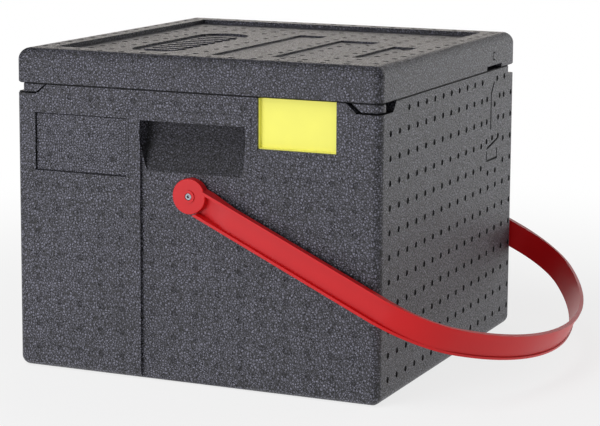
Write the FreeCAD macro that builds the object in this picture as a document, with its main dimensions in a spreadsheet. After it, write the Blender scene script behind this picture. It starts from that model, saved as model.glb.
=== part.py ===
import FreeCAD, Part
import math
import os
import Sketcher

# An insulated food carrier: a moulded bead-foam box with a lift-off lid, and a plastic
# carrying strap that turns on two screws, one in the front wall and one in the rear wall.
# Millimetres, +Z up. The origin is the centre of the box's base, the front faces -Y and
# the strap lies over to +X.

doc = FreeCAD.newDocument("food_carrier")
sheet = doc.addObject("Spreadsheet::Sheet", "sizes")

SIZES = {
    # box and lid
    "footprint": 410,
    "full_height": 338,
    "seam_height": 302,
    "wall_thickness": 30,
    "base_thickness": 32,
    "corner_round": 9,
    "foot_round": 10,
    "crown_round": 12,
    "cavity_round": 18,
    "plug_depth": 14,
    "plug_gap": 1,
    # carrying channel and hand grip, front and rear
    "channel_half": 59,
    "channel_depth": 3.5,
    "channel_top": 271,
    "grip_depth": 20,
    "grip_mid_depth": 15,
    "grip_mid_height": 245,
    "grip_low_half": 52.5,
    "grip_low_height": 219,
    # label field and label plate
    "field_outer": 182,
    "field_inner": 75,
    "field_low": 211,
    "field_high": 272,
    "field_depth": 2,
    "plate_left": 73,
    "plate_right": 158,
    "plate_low": 250,
    "plate_high": 301,
    "plate_recess": 8,
    "plate_thickness": 2.5,
    "plate_lip": 6,
    # rim notches and lid tabs at the corners
    "notch_low": 292.5,
    "notch_start": 178,
    "notch_slant": 12,
    "grip_notch_end": 172,
    "grip_notch_slant": 9,
    "notch_thickness": 24,
    "tab_gap": 1,
    "tab_thickness": 12,
    "tab_side": 6,
    "tab_setback": 10,
    # finger notch in the lid's edge
    "finger_start": 108,
    "finger_end": 158,
    "finger_height": 5,
    "finger_depth": 16,
    # lid top
    "field_half": 174,
    "top_depth": 4.5,
    "panel_depth": 1.8,
    # strap
    "pivot_height": 197.5,
    "rest_tilt": 25,
    "strap_width": 28,
    "lip_thickness": 2.8,
    "eye_face": 203.3,
    "eye_front": 207.6,
    "eye_radius": 18.2,
    "eye_flat": 22,
    "arm_start": 50,
    "arm_inner": 210,
    "arm_web": 213,
    "arm_outer": 217.5,
    "inner_shoulder": 85,
    "web_shoulder": 88,
    "outer_shoulder": 110,
    "inner_bow": 288,
    "web_bow": 291,
    "outer_bow": 291,
    "inner_crown": 363.6,
    "web_crown": 366.4,
    "outer_crown": 367.8,
    "clear_outside": 240,
    "disc_seat": 19,
    # pivot hardware
    "journal_radius": 6,
    "eye_bore_radius": 6.06,
    "flange_radius": 15,
    "flange_thickness": 1.5,
    "sleeve_radius": 8,
    "screw_radius": 2,
    "screw_bore_radius": 2.2,
    "screw_tip": 174.6,
    "head_radius": 3.5,
    "head_height": 4,
    "hex_size": 3,
    "hex_depth": 2.2,
    "disc_radius": 18.2,
    "disc_back": 207.8,
    "disc_front": 212,
    "hub_radius": 6.4,
    "hub_front": 213.2,
    "disc_floor": 208.9,
    "counterbore_radius": 3.8,
    "pocket_radius": 22,
    "pocket_depth": 8,
    "backing_radius": 20,
    "backing_thickness": 2.5,
    "washer_radius": 4.5,
    "washer_thickness": 0.8,
    "nut_flats": 7,
    "nut_thickness": 4.6,
}
for row, (alias, size) in enumerate(SIZES.items(), start=1):
    sheet.set("A%d" % row, alias)
    sheet.set("B%d" % row, str(size))
    sheet.setAlias("B%d" % row, alias)
doc.recompute()


def number(expression):
    """The value of an expression on the sheet, to place geometry before its constraints."""
    value = sheet.evalExpression(expression)
    return float(getattr(value, "Value", value))


def new_body(label):
    body = doc.addObject("PartDesign::Body", label)
    body.Label = label
    return body


def new_sketch(body, name, role, lift="0"):
    """A sketch on one of the body's own planes, lifted along that plane's normal.

    The normal of XZ_Plane is -Y and the normal of YZ_Plane is +X.
    """
    sketch = body.newObject("Sketcher::SketchObject", name)
    plane = [item for item in body.Origin.OriginFeatures if item.Role == role][0]
    sketch.AttachmentSupport = [(plane, "")]
    sketch.MapMode = "FlatFace"
    sketch.setExpression(".AttachmentOffset.Base.z", lift)
    return sketch


def pin_point(sketch, geometry, end, corner):
    """Hold one point of a sketch at a pair of expressions, measured from the origin."""
    for kind, text in zip(("DistanceX", "DistanceY"), corner):
        constraint = Sketcher.Constraint(kind, -1, 1, geometry, end, number(text))
        index = sketch.addConstraint(constraint)
        sketch.setExpression("Constraints[%d]" % index, text)


def polygon(sketch, corners):
    """A closed outline of straight lines with each corner held by two expressions."""
    points = [FreeCAD.Vector(number(u), number(v), 0) for u, v in corners]
    first = sketch.GeometryCount
    for start, end in zip(points, points[1:] + points[:1]):
        sketch.addGeometry(Part.LineSegment(start, end), False)
    for step, corner in enumerate(corners):
        following = first + (step + 1) % len(corners)
        sketch.addConstraint(Sketcher.Constraint("Coincident", first + step, 2, following, 1))
        pin_point(sketch, first + step, 1, corner)


def rectangle(sketch, low_u, low_v, high_u, high_v):
    polygon(sketch, [(low_u, low_v), (high_u, low_v), (high_u, high_v), (low_u, high_v)])


def circle(sketch, radius, centre_v=None):
    """A circle on the sketch's vertical axis, at the origin unless a height is given."""
    height = number(centre_v) if centre_v else 0
    shape = Part.Circle(FreeCAD.Vector(0, height, 0), FreeCAD.Vector(0, 0, 1), number(radius))
    index = sketch.addGeometry(shape, False)
    if centre_v:
        sketch.addConstraint(Sketcher.Constraint("PointOnObject", index, 3, -2))
        held = sketch.addConstraint(Sketcher.Constraint("DistanceY", -1, 1, index, 3, height))
        sketch.setExpression("Constraints[%d]" % held, centre_v)
    else:
        sketch.addConstraint(Sketcher.Constraint("Coincident", index, 3, -1, 1))
    held = sketch.addConstraint(Sketcher.Constraint("Radius", index, number(radius)))
    sketch.setExpression("Constraints[%d]" % held, radius)


def hexagon(sketch, flats):
    """A regular hexagon about the origin, with its corners up and down."""
    side = "(%s) / sqrt(3)" % flats
    corners = []
    for across, up in ((0, -1), (0.5, -0.5), (0.5, 0.5), (0, 1), (-0.5, 0.5), (-0.5, -0.5)):
        corners.append(("%s * (%s)" % (across, flats), "%s * %s" % (up, side)))
    polygon(sketch, corners)


def feature(body, kind, name, sketch, length=None, **settings):
    """A pad, pocket or other sketch feature with its length on the sheet."""
    made = body.newObject("PartDesign::" + kind, name)
    made.Profile = sketch
    for key, setting in settings.items():
        setattr(made, key, setting)
    if length:
        made.setExpression("Length", length)
    return made


def round_edges(body, name, radius, wanted):
    """A fillet on the edges of the body so far that the given test picks."""
    doc.recompute()
    base = body.Tip
    edges = base.Shape.Edges
    names = ["Edge%d" % (place + 1) for place, edge in enumerate(edges) if wanted(edge.BoundBox)]
    if not names:
        raise RuntimeError("no edges to round for " + name)
    fillet = body.newObject("PartDesign::Fillet", name)
    fillet.Base = (base, names)
    fillet.setExpression("Radius", radius)
    return fillet


def repeat_behind(body, name, originals):
    """The same features turned half round the upright axis, which makes the rear or left."""
    doc.recompute()
    pattern = body.newObject("PartDesign::PolarPattern", name)
    axis = [item for item in body.Origin.OriginFeatures if item.Role == "Z_Axis"][0]
    pattern.Originals = originals
    pattern.Axis = (axis, [""])
    pattern.Angle = 360
    pattern.Occurrences = 2
    body.Tip = pattern
    return pattern


def upright(low, high):
    """A test for straight vertical edges that span at least the given heights."""

    def wanted(box):
        return box.XLength < 0.01 and box.YLength < 0.01 and box.ZMin < low and box.ZMax > high

    return wanted


def flat_at(height, reach):
    """A test for edges at one height that lie at least this far out from the middle."""

    def wanted(box):
        level = abs(box.ZMin - height) < 0.01 and abs(box.ZMax - height) < 0.01
        out = max(abs(box.XMin), abs(box.XMax), abs(box.YMin), abs(box.YMax))
        return level and out > reach

    return wanted


HALF = "sizes.footprint / 2"


def make_carrier_body():
    """The open box: walls, base, channels, hand grips, fields, rim notches and pivot bores."""
    body = new_body("carrier_body")
    block = new_sketch(body, "block_outline", "XY_Plane")
    rectangle(block, "-" + HALF, "-" + HALF, HALF, HALF)
    feature(body, "Pad", "block", block, "sizes.seam_height")
    round_edges(body, "corner_rounds", "sizes.corner_round", upright(1, 300))
    round_edges(body, "foot_rounds", "sizes.foot_round", flat_at(0, 100))

    inside = "(sizes.footprint / 2 - sizes.wall_thickness)"
    cavity = new_sketch(body, "cavity_outline", "XY_Plane", "sizes.seam_height")
    rectangle(cavity, "-" + inside, "-" + inside, inside, inside)
    feature(body, "Pocket", "cavity", cavity, "sizes.seam_height - sizes.base_thickness")
    reach = number(inside)

    def inner_corner(box):
        return upright(40, 290)(box) and abs(box.XMax) < reach + 1 and abs(box.YMax) < reach + 1

    round_edges(body, "cavity_corners", "sizes.cavity_round", inner_corner)
    floor = number("sizes.base_thickness")
    round_edges(body, "cavity_floor", "sizes.cavity_round / 2", flat_at(floor, 100))

    repeated = []
    face = HALF
    channel = new_sketch(body, "channel_outline", "XZ_Plane", face)
    rectangle(channel, "-sizes.channel_half", "-5", "sizes.channel_half", "sizes.channel_top")
    repeated.append(feature(body, "Pocket", "channel", channel, "sizes.channel_depth"))

    # the hand grip is deepest under its upper edge and fades out into the channel floor
    sections = []
    for name, height, half, depth in (
        ("grip_top", "sizes.channel_top", "sizes.channel_half", "sizes.grip_depth"),
        ("grip_mid", "sizes.grip_mid_height", "sizes.channel_half", "sizes.grip_mid_depth"),
        ("grip_low", "sizes.grip_low_height", "sizes.grip_low_half", "sizes.channel_depth"),
    ):
        section = new_sketch(body, name, "XY_Plane", height)
        rectangle(section, "-" + half, "-%s - 2" % HALF, half, "-%s + %s" % (HALF, depth))
        sections.append(section)
    grip = feature(body, "SubtractiveLoft", "hand_grip", sections[0], Sections=sections[1:])
    grip.Ruled = False
    repeated.append(grip)

    field = new_sketch(body, "field_outline", "XZ_Plane", face)
    rectangle(field, "-sizes.field_outer", "sizes.field_low",
              "-sizes.field_inner", "sizes.field_high")
    repeated.append(feature(body, "Pocket", "label_field", field, "sizes.field_depth"))

    # grip notch: open to the front and to the side at the front right corner
    front_notch = new_sketch(body, "front_notch_outline", "XZ_Plane", face)
    top = "sizes.seam_height + 1"
    polygon(front_notch, [
        ("sizes.notch_start - sizes.notch_slant", top),
        ("sizes.notch_start", "sizes.notch_low"),
        (HALF + " + 1", "sizes.notch_low"),
        (HALF + " + 1", top),
    ])
    repeated.append(feature(body, "Pocket", "front_notch", front_notch, "sizes.notch_thickness"))
    side_notch = new_sketch(body, "side_notch_outline", "YZ_Plane", face)
    polygon(side_notch, [
        ("-%s - 1" % HALF, "sizes.notch_low"),
        ("-sizes.grip_notch_end", "sizes.notch_low"),
        ("-sizes.grip_notch_end + sizes.grip_notch_slant", top),
        ("-%s - 1" % HALF, top),
    ])
    repeated.append(feature(body, "Pocket", "side_notch", side_notch, "sizes.notch_thickness"))

    # locating notch: open to the front and to the side at the front left corner
    locating = new_sketch(body, "locating_notch_outline", "XZ_Plane", face)
    polygon(locating, [
        ("-%s - 1" % HALF, "sizes.notch_low"),
        ("-sizes.notch_start", "sizes.notch_low"),
        ("-sizes.notch_start + sizes.notch_slant", top),
        ("-%s - 1" % HALF, top),
    ])
    repeated.append(feature(body, "Pocket", "locating_notch", locating, "sizes.notch_thickness"))

    bore = new_sketch(body, "pivot_bore_outline", "XZ_Plane", face)
    circle(bore, "sizes.sleeve_radius", "sizes.pivot_height")
    repeated.append(feature(body, "Pocket", "pivot_bore", bore, "sizes.wall_thickness + 1"))
    nut_pocket = new_sketch(body, "nut_pocket_outline", "XZ_Plane",
                            "sizes.footprint / 2 - sizes.wall_thickness - 1")
    circle(nut_pocket, "sizes.pocket_radius", "sizes.pivot_height")
    repeated.append(feature(body, "Pocket", "nut_pocket", nut_pocket,
                            "sizes.pocket_depth + 1", Reversed=True))
    repeat_behind(body, "rear_features", repeated)

    plate = new_sketch(body, "plate_recess_outline", "XZ_Plane", face)
    rectangle(plate, "sizes.plate_left", "sizes.plate_low", "sizes.plate_right", top)
    feature(body, "Pocket", "plate_recess", plate, "sizes.plate_recess")
    return body


# the recessed panels in the lid's top field, in mm: left, front, right, back
PANELS = ((-13, -165, 20, 95), (51, -125, 98, 60), (127, -93, 155, 25))


def make_lid():
    """The lid: slab, plug that drops into the cavity, corner tabs and recessed top."""
    body = new_body("lid")
    slab = new_sketch(body, "slab_outline", "XY_Plane", "sizes.seam_height")
    rectangle(slab, "-" + HALF, "-" + HALF, HALF, HALF)
    feature(body, "Pad", "slab", slab, "sizes.full_height - sizes.seam_height")

    # corner tabs reach down into the notches of the rim
    tabs = []
    low = "sizes.notch_low + sizes.tab_gap"
    top = "sizes.seam_height + 1"
    start = "sizes.notch_start + sizes.tab_side"
    corner_tab = new_sketch(body, "corner_tab_outline", "XZ_Plane", HALF)
    polygon(corner_tab, [
        ("%s - sizes.notch_slant" % start, top),
        (start, low),
        (HALF, low),
        (HALF, top),
    ])
    tabs.append(feature(body, "Pad", "corner_tab", corner_tab, "sizes.tab_thickness",
                        Reversed=True))
    inner_tab = new_sketch(body, "inner_tab_outline", "XZ_Plane", HALF)
    polygon(inner_tab, [
        ("-%s + sizes.tab_setback" % HALF, low),
        ("-sizes.notch_start - 2", low),
        ("-sizes.notch_start - 2 + sizes.notch_slant", top),
        ("-%s + sizes.tab_setback" % HALF, top),
    ])
    tabs.append(feature(body, "Pad", "inner_tab", inner_tab,
                        "sizes.notch_thickness - 2", Reversed=True))
    repeat_behind(body, "rear_tabs", tabs)

    outer = number(HALF) - 1

    def outer_corner(box):
        spot = min(abs(box.XMin), abs(box.YMin))
        return upright(303, 301)(box) and spot > outer

    round_edges(body, "corner_rounds", "sizes.corner_round", outer_corner)
    crown = number("sizes.full_height")
    round_edges(body, "crown_rounds", "sizes.crown_round", flat_at(crown, 100))

    plug_half = "(sizes.footprint / 2 - sizes.wall_thickness - sizes.plug_gap)"
    plug = new_sketch(body, "plug_outline", "XY_Plane", "sizes.seam_height + 1")
    rectangle(plug, "-" + plug_half, "-" + plug_half, plug_half, plug_half)
    feature(body, "Pad", "plug", plug, "sizes.plug_depth + 1", Reversed=True)
    round_edges(body, "plug_corners", "sizes.cavity_round", upright(289, 300))

    finger = new_sketch(body, "finger_outline", "YZ_Plane", HALF)
    rectangle(finger, "sizes.finger_start", "sizes.seam_height - 1",
              "sizes.finger_end", "sizes.seam_height + sizes.finger_height")
    notch = feature(body, "Pocket", "finger_notch", finger, "sizes.finger_depth")
    repeat_behind(body, "left_finger_notch", [notch])

    field = new_sketch(body, "top_field_outline", "XY_Plane", "sizes.full_height")
    rectangle(field, "-sizes.field_half", "-sizes.field_half",
              "sizes.field_half", "sizes.field_half")
    feature(body, "Pocket", "top_field", field, "sizes.top_depth")
    panels = new_sketch(body, "panel_outlines", "XY_Plane", "sizes.full_height - sizes.top_depth")
    for left, front, right, back in PANELS:
        rectangle(panels, str(left), str(front), str(right), str(back))
    feature(body, "Pocket", "panels", panels, "sizes.panel_depth")
    return body


def make_label_plate():
    """The coloured label plate: a shallow tray whose ledge and one cheek face outwards."""
    body = new_body("label_plate")
    back = "sizes.footprint / 2 - sizes.plate_recess"
    outline = new_sketch(body, "plate_outline", "XZ_Plane", back)
    rectangle(outline, "sizes.plate_left", "sizes.plate_low",
              "sizes.plate_right", "sizes.plate_high")
    feature(body, "Pad", "plate", outline, "sizes.plate_thickness")
    edge = new_sketch(body, "edge_outline", "XZ_Plane", back)
    wall = "sizes.plate_thickness / 2"
    polygon(edge, [
        ("sizes.plate_left", "sizes.plate_high"),
        ("sizes.plate_left", "sizes.plate_low"),
        ("sizes.plate_right", "sizes.plate_low"),
        ("sizes.plate_right", "sizes.plate_low + " + wall),
        ("sizes.plate_left + " + wall, "sizes.plate_low + " + wall),
        ("sizes.plate_left + " + wall, "sizes.plate_high"),
    ])
    feature(body, "Pad", "edge", edge, "sizes.plate_lip")
    return body


def arch_points(half, shoulder, bow, crown):
    """Arc centres and the joining angle of an arch of three tangent arcs."""
    bow_centre = crown - bow
    reach = math.sqrt((bow - shoulder) ** 2 - (half - shoulder) ** 2)
    return bow_centre, bow_centre + reach, math.atan2(half - shoulder, reach)


def add_arch(sketch, leads, shoulder, bow, crown):
    """An arch from one arm round the bow to the other arm, open at the eyes.

    leads are the points of the arm on the +Y side from the eye outwards; the last one
    starts the straight arm. Returns the first and last line of the arch.
    """
    half = number(leads[-1][1])
    shoulder_radius, bow_radius = number(shoulder), number(bow)
    bow_centre, arm_end, join = arch_points(half, shoulder_radius, bow_radius, number(crown))
    rise = half - shoulder_radius
    first = sketch.GeometryCount
    points = [(number(u), number(v)) for u, v in leads] + [(arm_end, half)]
    up = FreeCAD.Vector(0, 0, 1)

    def arc(centre_u, centre_v, radius, start, end):
        ring = Part.Circle(FreeCAD.Vector(centre_u, centre_v, 0), up, radius)
        sketch.addGeometry(Part.ArcOfCircle(ring, start, end), False)

    for (u0, v0), (u1, v1) in zip(points, points[1:]):
        sketch.addGeometry(Part.LineSegment(FreeCAD.Vector(u0, -v0, 0),
                                            FreeCAD.Vector(u1, -v1, 0)), False)
    arc(arm_end, -rise, shoulder_radius, -math.pi / 2, -join)
    arc(bow_centre, 0, bow_radius, -join, join)
    arc(arm_end, rise, shoulder_radius, join, math.pi / 2)
    for (u0, v0), (u1, v1) in zip(points[::-1], points[::-1][1:]):
        sketch.addGeometry(Part.LineSegment(FreeCAD.Vector(u0, v0, 0),
                                            FreeCAD.Vector(u1, v1, 0)), False)
    count = len(leads)
    last = first + 2 * count + 2
    arm, near, middle, far, back = range(first + count - 1, first + count + 4)
    for step in range(first, last):
        smooth = arm <= step <= far
        kind = "Tangent" if smooth else "Coincident"
        sketch.addConstraint(Sketcher.Constraint(kind, step, 2, step + 1, 1))
    for place, (u, v) in enumerate(leads):
        pin_point(sketch, first + place, 1, (u, "-" + v))
        pin_point(sketch, last - place, 2, (u, v))
    sketch.addConstraint(Sketcher.Constraint("Horizontal", arm))
    sketch.addConstraint(Sketcher.Constraint("Horizontal", back))
    sketch.addConstraint(Sketcher.Constraint("Equal", near, far))
    for index, radius in ((near, shoulder), (middle, bow)):
        held = sketch.addConstraint(Sketcher.Constraint("Radius", index, number(radius)))
        sketch.setExpression("Constraints[%d]" % held, radius)
    sketch.addConstraint(Sketcher.Constraint("PointOnObject", middle, 3, -1))
    held = sketch.addConstraint(Sketcher.Constraint("DistanceX", -1, 1, middle, 3, bow_centre))
    sketch.setExpression("Constraints[%d]" % held, "%s - %s" % (crown, bow))
    return first, last


def join_ends(sketch, start, start_end, stop, stop_end):
    """A straight line from an end of one line to an end of another."""
    index = sketch.addGeometry(Part.LineSegment(sketch.getPoint(start, start_end),
                                                sketch.getPoint(stop, stop_end)), False)
    sketch.addConstraint(Sketcher.Constraint("Coincident", start, start_end, index, 1))
    sketch.addConstraint(Sketcher.Constraint("Coincident", stop, stop_end, index, 2))


def make_handle_strap():
    """The strap: a bowed band with two lips that face outwards, and an eye at each end.

    It is drawn lying flat, with its arms along +X from the pivot axis on Y, and its
    placement tilts it down to rest.
    """
    body = new_body("handle_strap")
    band = new_sketch(body, "band_outline", "XY_Plane")
    outer = add_arch(band, [("1", "sizes.arm_outer")],
                     "sizes.outer_shoulder", "sizes.outer_bow", "sizes.outer_crown")
    inner = add_arch(band, [("1", "sizes.eye_face"), ("sizes.eye_flat", "sizes.eye_face"),
                            ("sizes.arm_start", "sizes.arm_inner")],
                     "sizes.inner_shoulder", "sizes.inner_bow", "sizes.inner_crown")
    join_ends(band, outer[0], 1, inner[0], 1)
    join_ends(band, outer[1], 2, inner[1], 2)
    feature(body, "Pad", "band", band, "sizes.strap_width", Midplane=True)

    hollow = new_sketch(body, "hollow_outline", "XY_Plane")
    web = "(sizes.eye_face + sizes.arm_web - sizes.arm_inner)"
    first, last = add_arch(hollow, [("0.5", web), ("sizes.eye_flat", web),
                                    ("sizes.arm_start", "sizes.arm_web")],
                           "sizes.web_shoulder", "sizes.web_bow", "sizes.web_crown")
    ends = [sketch_point for sketch_point in (hollow.getPoint(last, 2), hollow.getPoint(first, 1))]
    far = number("sizes.clear_outside")
    reach = number("sizes.outer_crown") + 10
    corners = [ends[0], FreeCAD.Vector(ends[0].x, far, 0), FreeCAD.Vector(reach, far, 0),
               FreeCAD.Vector(reach, -far, 0), FreeCAD.Vector(ends[1].x, -far, 0), ends[1]]
    start = hollow.GeometryCount
    for low, high in zip(corners, corners[1:]):
        hollow.addGeometry(Part.LineSegment(low, high), False)
    hollow.addConstraint(Sketcher.Constraint("Coincident", last, 2, start, 1))
    for step in range(start, start + 4):
        hollow.addConstraint(Sketcher.Constraint("Coincident", step, 2, step + 1, 1))
    hollow.addConstraint(Sketcher.Constraint("Coincident", start + 4, 2, first, 1))
    span = "sizes.outer_crown + 10"
    for place, corner in enumerate((("0.5", "sizes.clear_outside"), (span, "sizes.clear_outside"),
                                    (span, "-sizes.clear_outside"),
                                    ("0.5", "-sizes.clear_outside"))):
        pin_point(hollow, start + place, 2, corner)
    feature(body, "Pocket", "hollow", hollow, "sizes.strap_width - 2 * sizes.lip_thickness",
            Midplane=True)

    seat = new_sketch(body, "disc_seat_outline", "XZ_Plane", "sizes.clear_outside")
    circle(seat, "sizes.disc_seat")
    seats = [feature(body, "Pocket", "disc_seat", seat,
                     "sizes.clear_outside - sizes.arm_web + sizes.arm_inner - sizes.eye_face")]
    eye = new_sketch(body, "eye_outline", "XZ_Plane", "sizes.eye_face")
    circle(eye, "sizes.eye_radius")
    seats.append(feature(body, "Pad", "eye", eye, "sizes.eye_front - sizes.eye_face"))
    bore = new_sketch(body, "eye_bore_outline", "XZ_Plane", "sizes.clear_outside")
    circle(bore, "sizes.eye_bore_radius")
    seats.append(feature(body, "Pocket", "eye_bore", bore,
                         "sizes.clear_outside - sizes.eye_face + 5"))
    doc.recompute()
    mirror = body.newObject("PartDesign::Mirrored", "rear_eye")
    mirror.Originals = seats
    plane = [item for item in body.Origin.OriginFeatures if item.Role == "XZ_Plane"][0]
    mirror.MirrorPlane = (plane, [""])
    body.Tip = mirror
    return body


def make_bush(label):
    """The plastic bush: a sleeve through the wall, a flange, and the strap's journal."""
    body = new_body(label)
    floor = "sizes.footprint / 2 - sizes.channel_depth"
    inner = "sizes.footprint / 2 - sizes.wall_thickness + sizes.pocket_depth"
    sleeve = new_sketch(body, "sleeve_outline", "XZ_Plane", inner)
    circle(sleeve, "sizes.sleeve_radius")
    feature(body, "Pad", "sleeve", sleeve, "%s - (%s)" % (floor, inner))
    flange = new_sketch(body, "flange_outline", "XZ_Plane", floor)
    circle(flange, "sizes.flange_radius")
    feature(body, "Pad", "flange", flange, "sizes.flange_thickness")
    journal = new_sketch(body, "journal_outline", "XZ_Plane", floor)
    circle(journal, "sizes.journal_radius")
    feature(body, "Pad", "journal", journal, "sizes.disc_back - (%s)" % floor)
    bore = new_sketch(body, "screw_bore_outline", "XZ_Plane", "sizes.disc_back")
    circle(bore, "sizes.screw_bore_radius")
    feature(body, "Pocket", "screw_bore", bore, "sizes.disc_back - (%s) + 1" % inner)
    return body


def make_disc(label):
    """The round cap that holds the strap on the bush, with a hub around the screw."""
    body = new_body(label)
    plate = new_sketch(body, "disc_outline", "XZ_Plane", "sizes.disc_back")
    circle(plate, "sizes.disc_radius")
    feature(body, "Pad", "disc", plate, "sizes.disc_front - sizes.disc_back")
    front = number("sizes.disc_front")
    round_edges(body, "disc_edge", "0.8 mm", lambda box: abs(box.YMax + front) < 0.01)
    hub = new_sketch(body, "hub_outline", "XZ_Plane", "sizes.disc_back")
    circle(hub, "sizes.hub_radius")
    feature(body, "Pad", "hub", hub, "sizes.hub_front - sizes.disc_back")
    sink = new_sketch(body, "counterbore_outline", "XZ_Plane", "sizes.hub_front")
    circle(sink, "sizes.counterbore_radius")
    feature(body, "Pocket", "counterbore", sink, "sizes.hub_front - sizes.disc_floor")
    bore = new_sketch(body, "screw_bore_outline", "XZ_Plane", "sizes.hub_front")
    circle(bore, "sizes.screw_bore_radius")
    feature(body, "Pocket", "screw_bore", bore, "sizes.hub_front - sizes.disc_back + 1")
    return body


def make_screw(label):
    """The socket-head screw: a round head with a hexagon socket, and its shank."""
    body = new_body(label)
    head = new_sketch(body, "head_outline", "XZ_Plane", "sizes.disc_floor")
    circle(head, "sizes.head_radius")
    feature(body, "Pad", "head", head, "sizes.head_height")
    crown = number("sizes.disc_floor + sizes.head_height")
    round_edges(body, "head_edge", "0.4 mm", lambda box: abs(box.YMax + crown) < 0.01)
    shank = new_sketch(body, "shank_outline", "XZ_Plane", "sizes.screw_tip")
    circle(shank, "sizes.screw_radius")
    feature(body, "Pad", "shank", shank, "sizes.disc_floor - sizes.screw_tip")
    socket = new_sketch(body, "socket_outline", "XZ_Plane", "sizes.disc_floor + sizes.head_height")
    hexagon(socket, "sizes.hex_size")
    feature(body, "Pocket", "socket", socket, "sizes.hex_depth")
    return body


BACKING_IN = ("(sizes.footprint / 2 - sizes.wall_thickness + sizes.pocket_depth"
              " - sizes.backing_thickness)")


def make_backing_plate(label):
    """The round plate that spreads the strap's pull over the inside of the wall."""
    body = new_body(label)
    outline = new_sketch(body, "backing_outline", "XZ_Plane", BACKING_IN)
    circle(outline, "sizes.backing_radius")
    circle(outline, "sizes.screw_bore_radius")
    feature(body, "Pad", "backing", outline, "sizes.backing_thickness")
    return body


def make_washer(label):
    """The steel washer between the nut and the backing plate."""
    body = new_body(label)
    outline = new_sketch(body, "washer_outline", "XZ_Plane",
                         BACKING_IN + " - sizes.washer_thickness")
    circle(outline, "sizes.washer_radius")
    circle(outline, "sizes.screw_bore_radius")
    feature(body, "Pad", "washer", outline, "sizes.washer_thickness")
    return body


def make_nut(label):
    """The hexagon lock nut on the inner end of the screw."""
    body = new_body(label)
    outline = new_sketch(body, "nut_outline", "XZ_Plane",
                         BACKING_IN + " - sizes.washer_thickness - sizes.nut_thickness")
    hexagon(outline, "sizes.nut_flats")
    circle(outline, "sizes.screw_radius")
    feature(body, "Pad", "nut", outline, "sizes.nut_thickness")
    return body


HARDWARE = {
    "pivot_bush": make_bush,
    "pivot_disc": make_disc,
    "pivot_screw": make_screw,
    "backing_plate": make_backing_plate,
    "plain_washer": make_washer,
    "lock_nut": make_nut,
}

subparts = [make_carrier_body(), make_lid(), make_label_plate()]

strap = make_handle_strap()
strap.Placement = FreeCAD.Placement(
    FreeCAD.Vector(0, 0, number("sizes.pivot_height")),
    FreeCAD.Rotation(FreeCAD.Vector(0, 1, 0), number("sizes.rest_tilt")))
subparts.append(strap)

# the rear hardware is the front hardware turned half round the upright axis
for side, turn in (("front", 0), ("rear", 180)):
    for piece, make in HARDWARE.items():
        made = make("%s_%s" % (side, piece))
        made.Placement = FreeCAD.Placement(
            FreeCAD.Vector(0, 0, number("sizes.pivot_height")),
            FreeCAD.Rotation(FreeCAD.Vector(0, 0, 1), turn))
        subparts.append(made)

doc.recompute()

for item in doc.Objects:
    if "Invalid" in item.State or "Error" in item.State:
        raise RuntimeError("%s failed: %s" % (item.Name, item.State))

CUTS = ("Pocket", "SubtractiveLoft")
for item in doc.Objects:
    kind = item.TypeId.split("::")[-1]
    if kind in CUTS and item.BaseFeature:
        if item.Shape.Volume > item.BaseFeature.Shape.Volume - 0.5:
            raise RuntimeError("%s removes nothing" % item.Name)

os.makedirs("parts", exist_ok=True)
for body in subparts:
    shape = body.Shape
    if shape.isNull() or not shape.isValid() or len(shape.Solids) != 1:
        raise RuntimeError("%s has no single valid solid" % body.Label)
    shape.exportStep("parts/%s.step" % body.Label)
    print("%-22s %9.1f cm3" % (body.Label, shape.Volume / 1000))
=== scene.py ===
import math

import bmesh
import bpy
from mathutils import Matrix, Vector


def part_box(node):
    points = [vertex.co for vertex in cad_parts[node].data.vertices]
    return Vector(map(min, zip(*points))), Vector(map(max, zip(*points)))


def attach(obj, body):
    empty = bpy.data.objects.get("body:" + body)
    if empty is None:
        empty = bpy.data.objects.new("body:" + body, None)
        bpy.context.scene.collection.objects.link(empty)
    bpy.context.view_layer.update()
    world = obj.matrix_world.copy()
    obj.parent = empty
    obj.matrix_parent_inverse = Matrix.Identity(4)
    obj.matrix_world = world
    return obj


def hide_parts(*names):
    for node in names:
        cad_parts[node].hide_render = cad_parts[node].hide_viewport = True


bl_info = {
    "name": "Insulated Food Carrier",
    "version": (1, 0, 0),
    "blender": (4, 5, 0),
    "location": "View3D > Sidebar > Food Carrier",
    "description": "Finishes the foam box, lid, strap and fittings of a food carrier",
    "category": "Object",
}

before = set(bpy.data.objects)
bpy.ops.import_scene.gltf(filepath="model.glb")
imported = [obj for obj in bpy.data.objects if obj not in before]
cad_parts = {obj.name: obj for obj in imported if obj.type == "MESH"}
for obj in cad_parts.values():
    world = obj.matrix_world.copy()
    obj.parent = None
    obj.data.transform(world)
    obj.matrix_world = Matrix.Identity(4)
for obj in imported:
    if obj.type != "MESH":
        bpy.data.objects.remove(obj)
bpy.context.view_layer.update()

MM = 0.001
BOX_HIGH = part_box("carrier_body")[1]
HALF = BOX_HIGH.x
SEAM = BOX_HIGH.z
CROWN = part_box("lid")[1].z

# the foam's own steps, as the CAD has them
TOP_FIELD_DEPTH = 4.5 * MM
TOP_PANEL_DEPTH = 1.8 * MM
LABEL_FIELD_DEPTH = 2 * MM
CHANNEL_HALF = 59 * MM
CHANNEL_DEPTH = 3.5 * MM
GRIP_LOW = 213 * MM
GRIP_HIGH = 271.5 * MM
GRIP_BACK = 170 * MM

# the groove at the seam: its half height, its depth and the radius it takes round a corner
GROOVE_RISE = 1.9 * MM
GROOVE_DEPTH = 1 * MM
GROOVE_CORNER = 10 * MM
CAPSULE_DEPTH = 2.2 * MM

# how far a cutter stands out of the face that it cuts
CUT_CLEAR = 2 * MM
# steps in a half circle at a stroke's end, and in a quarter circle at a corner
ROUND_STEPS = 8
# a vent mark's corners, and the share of its depth that the front and rear walls show
MARK_SIDES = 14
FAINT = 0.3
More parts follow.
